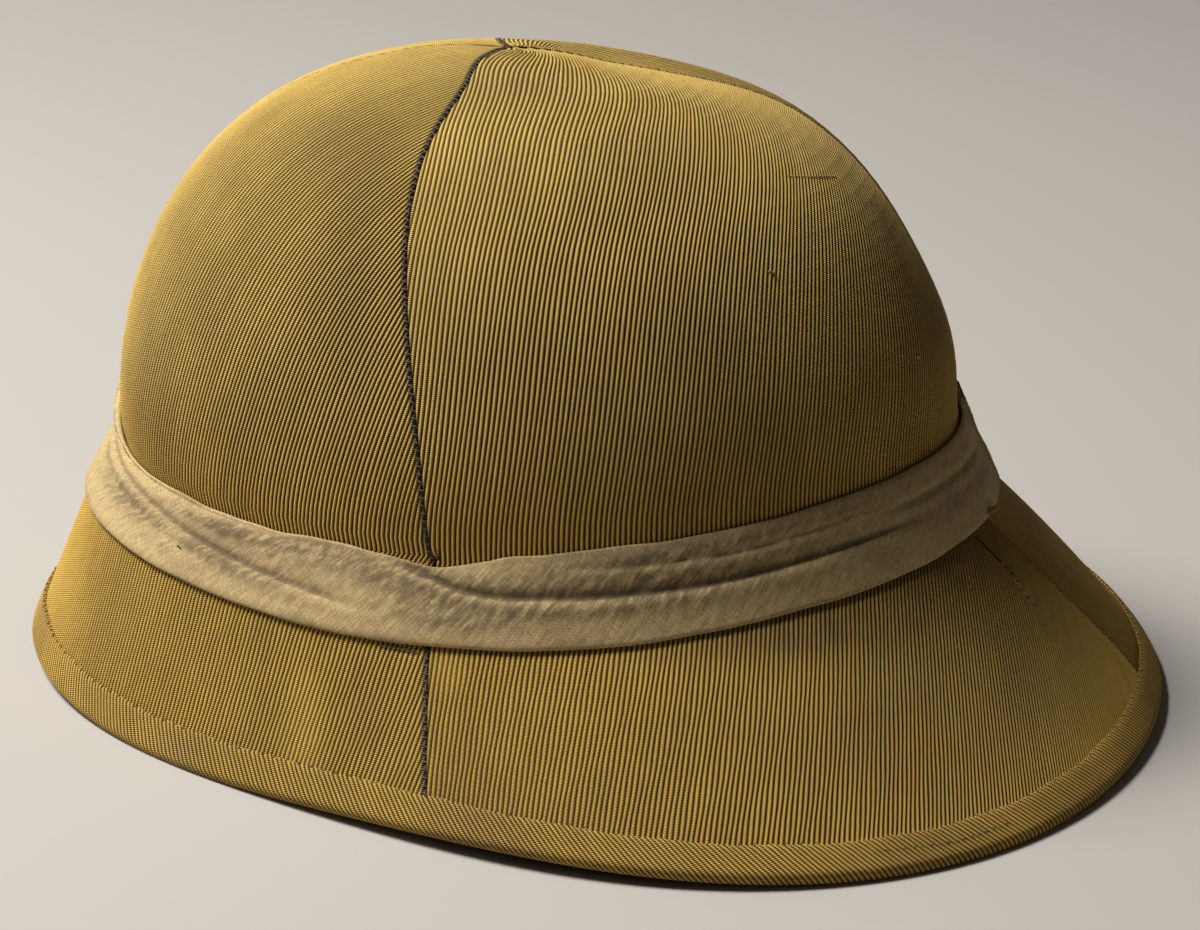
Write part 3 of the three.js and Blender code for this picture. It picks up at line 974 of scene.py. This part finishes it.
def cotton(name):
    n = Nodes(name, 0.88)
    place = n.add("ShaderNodeTexCoord").outputs["Object"]
    weave = n.add("ShaderNodeSeparateXYZ", {0: n.add("ShaderNodeUVMap", uv_map="weave").outputs[0]})
    right_way = n.math("ADD", weave.outputs[0], weave.outputs[1])
    left_way = n.math("SUBTRACT", weave.outputs[0], weave.outputs[1])

    def stretched_weave(right_scale, left_scale):
        rightward = n.math("MULTIPLY", right_way, right_scale)
        return n.combine(rightward, n.math("MULTIPLY", left_way, left_scale))

    warp = n.math("SINE", n.math("MULTIPLY", right_way, 2 * math.pi / thread_spacing))
    weft = n.math("SINE", n.math("MULTIPLY", left_way, 2 * math.pi / thread_spacing))
    crossing = n.math("MULTIPLY", warp, weft)
    slubs = n.noise(stretched_weave(*slub_stretch), 1.0, 3.0)
    cross_slubs = n.noise(stretched_weave(*slub_stretch[::-1]), 1.0, 3.0)
    fuzz = n.noise(place, 2400.0, 2.0, 0.7)
    blotch = n.noise(stretched_weave(0.42, 0.11), 1.0, 5.0, 0.66)
    stretched = n.add("ShaderNodeMapping", {"Vector": place, "Scale": (1.0, 1.0, 3.0)}).outputs[0]
    broad = n.noise(stretched, 26.0, 4.0, 0.6)
    thread = n.math("ADD", n.math("MULTIPLY", slubs, 0.6), n.math("MULTIPLY", cross_slubs, 0.4))
    colour = n.mix(n.ramp(thread, 0.28, 0.66), dull_cotton, pale_cotton)
    tiny = n.math("ADD", n.math("MULTIPLY", crossing, 0.22), n.ramp(fuzz, 0.3, 0.7, 0.78, 1.12))
    colour = n.mix(1.0, colour, n.combine(tiny, tiny, tiny), "MULTIPLY")
    dirt_and_painted_shade = n.math("MULTIPLY", n.ramp(n.value("soil_and_painted_light"), 0.04, 0.75), n.ramp(blotch, 0.36, 0.60, 0.25, 1.0))
    dirt_and_painted_shade = n.math("ADD", dirt_and_painted_shade, n.ramp(broad, 0.50, 0.70, 0.0, 0.45))
    # Painted shade in the creases: the deep folds are darker.
    dirt_and_painted_shade = n.math("ADD", dirt_and_painted_shade, n.math("MULTIPLY", n.ramp(n.value("crease"), 0.25, 0.95), 0.55))
    colour = n.mix(n.math("MINIMUM", n.math("MULTIPLY", dirt_and_painted_shade, 0.75), 0.85), colour, cotton_grime_and_shade)
    n.feed(n.shader.inputs["Base Color"], colour)
    n.shader.inputs["Specular IOR Level"].default_value = 0.2
    n.shader.inputs["Sheen Weight"].default_value = 0.03
    wrinkle = n.bump(blotch, 0.35, 0.0004)
    threads = n.bump(thread, 0.5, 0.00022, wrinkle)
    n.feed(n.shader.inputs["Normal"], n.bump(crossing, 0.45, 0.00010, threads))
    return n.material


puggaree.data.materials.append(cotton("worn cotton"))
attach(puggaree, "root")
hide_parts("puggaree")

# Edge binding. A strip of the same whipcord cut on the slant and folded over the edge of the
# brim, its own edge turned in and stitched down, so that the ribs cross it at sixty degrees.
binding_samples = 5
binding_slope = math.radians(60)
binding_rib_height = 0.00030
pucker_pitch = 0.0041
pucker_size = 0.00016
binding_section = [
    # inwards from the middle of the nose, and off its middle plane
    (0.0076, 0.00150),
    (0.0079, 0.00185),
    (0.0078, 0.00235),
    (0.0072, 0.00268),
    (0.0060, 0.00280),
    (0.0045, 0.00282),
    (0.0030, 0.00280),
    (0.0015, 0.00277),
]
bends = np.radians(np.arange(90, -91, -18))
binding_section += [(-edge_radius * math.cos(bend), edge_radius * math.sin(bend)) for bend in bends]
binding_section += [(0.0025, -0.00275), (0.0050, -0.00275), (0.0075, -0.00265), (0.0078, -0.00220)]
binding_section = np.array(binding_section)
fine_turns = np.linspace(0, 2 * math.pi, 1441)
rim = face(fine_turns, 3.0)
rim_run = np.concatenate([[0], np.cumsum(np.linalg.norm(np.diff(rim, axis=0), axis=1))])
bias_pitch = rib_pitch / math.sin(binding_slope)
binding_ribs = int(round(rim_run[-1] / bias_pitch))
bias_pitch = rim_run[-1] / binding_ribs
count = binding_ribs * binding_samples
section_steps = np.linalg.norm(np.diff(binding_section, axis=0), axis=1)
section_run = np.concatenate([[0], np.cumsum(section_steps)])
start = np.arange(count)[None, :] * bias_pitch / binding_samples
place_round = start + section_run[:, None] / math.tan(binding_slope)
phase = np.broadcast_to(np.arange(count)[None, :] / binding_samples, place_round.shape)
turns = np.interp(place_round % rim_run[-1], rim_run, fine_turns)
outer_face = face(turns, 3.0)
out = outward(turns, 3.0)
inward = face(turns, 2.98) - outer_face
inward /= np.linalg.norm(inward, axis=-1, keepdims=True)
centre = outer_face - out * edge_stand
puckers = np.sin(place_round * 2 * math.pi / pucker_pitch) * pucker_size
puckers += np.sin(place_round * 210) * 0.00018
inside = binding_section[:, 0][:, None] + np.where(binding_section[:, :1] > 0.0055, puckers, 0)
off = np.broadcast_to(binding_section[:, 1][:, None], place_round.shape)
binding_points = centre + inward * inside[..., None] + out * off[..., None]
ends = np.ones(len(binding_section))
ends[[0, -1]] = 0.2
round_section = np.gradient(binding_points, axis=0)
round_rim = np.gradient(binding_points, axis=1)
normal = np.cross(round_section, round_rim)
normal /= np.linalg.norm(normal, axis=-1, keepdims=True)
dent = binding_rib_height * (1 - rib_profile(phase)) * ends[:, None]
binding_points = binding_points - normal * dent[..., None]
binding_points[..., 2] = np.maximum(binding_points[..., 2], 0.0)
binding_faces = grid_faces(len(binding_section), count, closed=True)
binding = mesh_object("cloth_binding", binding_points.reshape(-1, 3), binding_faces)
index = binding_faces.ravel()
layer = binding.data.uv_layers.new(name="cord")
u = unwrapped(phase.ravel()[index], binding_ribs)
v = np.broadcast_to(section_run[:, None] * 1000 / math.sin(binding_slope), phase.shape).ravel()[index]
layer.data.foreach_set("uv", np.stack([u, v], 1).ravel())
add_values(binding, "soil_and_painted_light", 0.25 + 0.25 * np.sin(turns * 5 + 1) * np.sin(turns * 13))
binding.data.materials.append(whipcord("khaki whipcord on the slant", seam_dirt_and_gap_shade=0))
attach(binding, "root")
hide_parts("edge_binding")

# Binding stitches. The turned-in edge of the binding is felled to the brim, a stitch in each small
# pucker, and towards the back a second row runs for a few centimetres along its middle.
edge_row = stitched(
    "binding_stitches",
    binding_points[2, ::3],
    np.broadcast_to(out, binding_points.shape)[2, ::3],
    dull_thread,
    Pitch=pucker_pitch,
    Length=0.0012,
    Thickness=0.00030,
    Rise=0.00018,
    Slant=1.25,
)

# Small wear. A mend sewn over a worn place on the rear brim, the knot at the end of the puggaree,
# a frayed tuft and a loose end at the side seam, a pulled thread and a few nubs in the cloth.
pale_thread = thread_finish("pale thread", (0.50, 0.38, 0.19), (0.24, 0.17, 0.08))
dark_thread = thread_finish("dark thread", (0.030, 0.022, 0.014), (0.010, 0.007, 0.005))
small_wear = {
    # thread, points as turn and level, then in millimetres the height of the row above the cover
    # and the pitch, length, thickness and rise of its stitches, and their slant in radians
    "worn_place": (pale_thread, [(84.0, 2.26), (83.0, 2.37)], (-0.05, 0.5, 2.4, 0.34, 0.16), 1.2),
    "mend": (dark_thread, [(84.5, 2.05), (84.5, 2.16)], (0.02, 1.2, 1.5, 0.45, 0.12), 0.0),
    "mend_end": (dark_thread, [(84.5, 2.17), (84.4, 2.24), (83, 2.34)], (0.02, 2.3, 0.8, 0.60, 0.22), 0.3),
    "knot": (pale_thread, [(89.5, 2.015), (91.5, 2.025)], (1.9, 0.5, 1.9, 0.55, 0.60), 0.6),
    "knot_end": (pale_thread, [(90.5, 2.01), (91.0, 2.05)], (1.5, 0.7, 1.6, 0.40, 0.40), -0.7),
    "tuft": (pale_thread, [(-4.5, 1.07), (-1.5, 1.10), (1.2, 1.17)], (2.55, 1.0, 1.7, 0.22, 0.28), 0.9),
    "loose_end": (dark_thread, [(-7.0, 2.050), (-2.0, 2.056)], (0.35, 1.2, 1.5, 0.30, 0.10), 0.0),
    "dark_nub": (dull_thread, [(-46.2, 1.727), (-45.7, 1.735)], (2.80, 0.9, 0.6, 0.45, 0.15), 0.6),
    "pulled_thread": (pale_thread, [(69.2, 0.425), (77.2, 0.462)], (-0.08, 1.2, 1.4, 0.20, 0.05), 0.0),
    "pale_nub": (pale_thread, [(58.2, 0.587), (58.5, 0.590)], (-0.05, 0.9, 0.8, 0.50, 0.25), 0.4),
    "rear_nub": (pale_thread, [(76.8, 0.813), (77.1, 0.816)], (-0.05, 0.9, 0.9, 0.50, 0.25), 0.9),
    "second_row": (
        dull_thread,
        [(43.0, 2.950), (50.5, 2.968), (56.0, 2.962)],
        (1.20, 2.4, 1.1, 0.26, 0.12),
        0.0,
    ),
}
for name, (thread, points, (above_cover, *sizes), slant) in small_wear.items():
    places = np.linspace(0, len(points) - 1, 24)
    at_turn = np.radians(np.interp(places, range(len(points)), [point[0] for point in points]))
    at_level = np.interp(places, range(len(points)), [point[1] for point in points])
    away = outward(at_turn, at_level)
    path = face(at_turn, at_level) + away * above_cover / 1000
    labels = ("Pitch", "Length", "Thickness", "Rise")
    in_metres = {label: size / 1000 for label, size in zip(labels, sizes)}
    piece = stitched(f"{name}_thread", path, away, thread, **in_metres, Slant=slant)
    "band_cotton" if "knot" in name or name in ("tuft", "dark_nub") else "khaki_cord"
